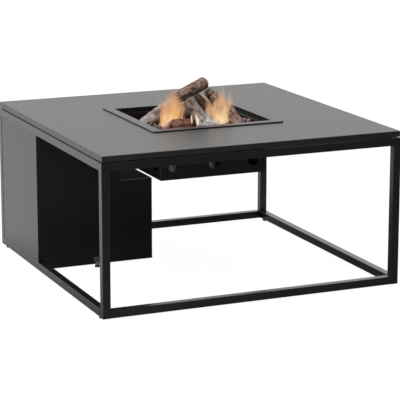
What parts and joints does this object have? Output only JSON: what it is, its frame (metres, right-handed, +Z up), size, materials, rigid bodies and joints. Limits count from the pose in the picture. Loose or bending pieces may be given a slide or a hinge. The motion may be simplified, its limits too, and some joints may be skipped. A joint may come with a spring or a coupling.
{
  "type": "gas fire table",
  "caption": "Low square garden fire table: open square-tube frame, folded sheet top, sunk gas burner with log set on a grate, gas-bottle cabinet with rear door and controls.",
  "frame": {"origin": "on the floor, at the middle of the footprint", "axes": "+Z up, +X to the right along the front, +Y to the back, where the cabinet door and the controls are"},
  "size_m": [1, 1, 0.6192],
  "materials": {
    "frame_coat": "satin black powder coat",
    "top_coat": "fine-textured satin black powder coat",
    "tray_coat": "heat-proof satin black coat",
    "panel_coat": "satin black powder coat",
    "foot_plastic": "matt",
    "zinc_steel": "zinc plated",
    "pad_rubber": "matt",
    "brass": "machined",
    "pipe_aluminium": "drawn",
    "burner_steel": "heat-tinted stainless",
    "electrode_ceramic": "unglazed",
    "grate_steel": "blackened",
    "lava": "porous",
    "ember": "rough",
    "log_ash": "bark relief, ashy",
    "log_bark": "bark relief",
    "log_charred": "bark relief, charred",
    "log_tan": "bark relief, reddish",
    "black_plastic": "fine texture",
    "knob_steel": "satin"
  },
  "bodies": {
    "frame": {"bottom_rail_back": "frame_coat", "bottom_rail_front": "frame_coat", "bottom_rail_left": "frame_coat", "bottom_rail_right": "frame_coat", "burner_housing": "tray_coat", "burner_tray": "tray_coat", "burner_tube": "burner_steel", "cabinet_fascia": "panel_coat", "cabinet_floor": "panel_coat", "cabinet_front_panel": "panel_coat", "cabinet_left_panel": "panel_coat", "cabinet_side_panel": "panel_coat", "cabinet_step": "panel_coat", "door_catch": "black_plastic", "electrode": "electrode_ceramic", "ember_lumps": "ember", "foot_bracket": "zinc_steel", "gas_pipe": "pipe_aluminium", "gas_valve": "brass", "grate_legs": "grate_steel", "hinge_pin_leaves": "zinc_steel", "hose_nozzle": "brass", "housing_nuts": "zinc_steel", "igniter_body": "black_plastic", "injector": "brass", "lava_rocks": "lava", "leg_back_left": "frame_coat", "leg_back_right": "frame_coat", "leg_front_left": "frame_coat", "leg_front_right": "frame_coat", "log_back": "log_bark", "log_centre": "log_ash", "log_crown": "log_bark", "log_dark": "log_charred", "log_front": "log_charred", "log_grate": "grate_steel", "log_left": "log_ash", "log_rear": "log_bark", "log_right": "log_tan", "pilot_bracket": "burner_steel", "pipe_nuts": "brass", "table_top": "top_coat", "thermocouple": "burner_steel", "top_pads": "pad_rubber", "top_rail_back": "frame_coat", "top_rail_front": "frame_coat", "top_rail_left": "frame_coat", "top_rail_right": "frame_coat", "top_stiffeners": "zinc_steel"},
    "foot_front_left": {"foot_front_left": "foot_plastic"},
    "foot_front_right": {"foot_front_right": "foot_plastic"},
    "foot_back_left": {"foot_back_left": "foot_plastic"},
    "foot_back_right": {"foot_back_right": "foot_plastic"},
    "foot_cabinet": {"foot_cabinet": "foot_plastic"},
    "door": {"cabinet_door": "panel_coat", "hinge_sleeve_leaves": "zinc_steel", "door_knob": "knob_steel"},
    "knob_plunger": {"knob_cup": "black_plastic"},
    "knob": {"control_knob": "black_plastic"},
    "igniter_button": {"igniter_button": "black_plastic"}
  },
  "joints": [
    {"name": "foot_front_left_screw", "type": "slide", "parent": "frame", "child": "foot_front_left", "axis": [0, 0, -1], "range_m": [0, 0.008]},
    {"name": "foot_front_right_screw", "type": "slide", "parent": "frame", "child": "foot_front_right", "axis": [0, 0, -1], "range_m": [0, 0.008]},
    {"name": "foot_back_left_screw", "type": "slide", "parent": "frame", "child": "foot_back_left", "axis": [0, 0, -1], "range_m": [0, 0.008]},
    {"name": "foot_back_right_screw", "type": "slide", "parent": "frame", "child": "foot_back_right", "axis": [0, 0, -1], "range_m": [0, 0.008]},
    {"name": "foot_cabinet_screw", "type": "slide", "parent": "frame", "child": "foot_cabinet", "axis": [0, 0, -1], "range_m": [0, 0.008]},
    {"name": "door_hinge", "type": "hinge", "parent": "frame", "child": "door", "pos_m": [-0.47, 0.478, 0.209], "axis": [0, 0, 1], "range_deg": [0, 100]},
    {"name": "knob_push", "type": "slide", "parent": "frame", "child": "knob_plunger", "axis": [0, -1, 0], "range_m": [0, 0.004], "stiffness_N_per_m": 900, "springref_m": -0.002},
    {"name": "knob_turn", "type": "hinge", "parent": "knob_plunger", "child": "knob", "pos_m": [-0.3441, 0.479, 0.421], "axis": [0, 1, 0], "range_deg": [0, 200]},
    {"name": "igniter_push", "type": "slide", "parent": "frame", "child": "igniter_button", "axis": [0, -1, 0], "range_m": [0, 0.004], "stiffness_N_per_m": 600, "springref_m": -0.002}
  ]
}
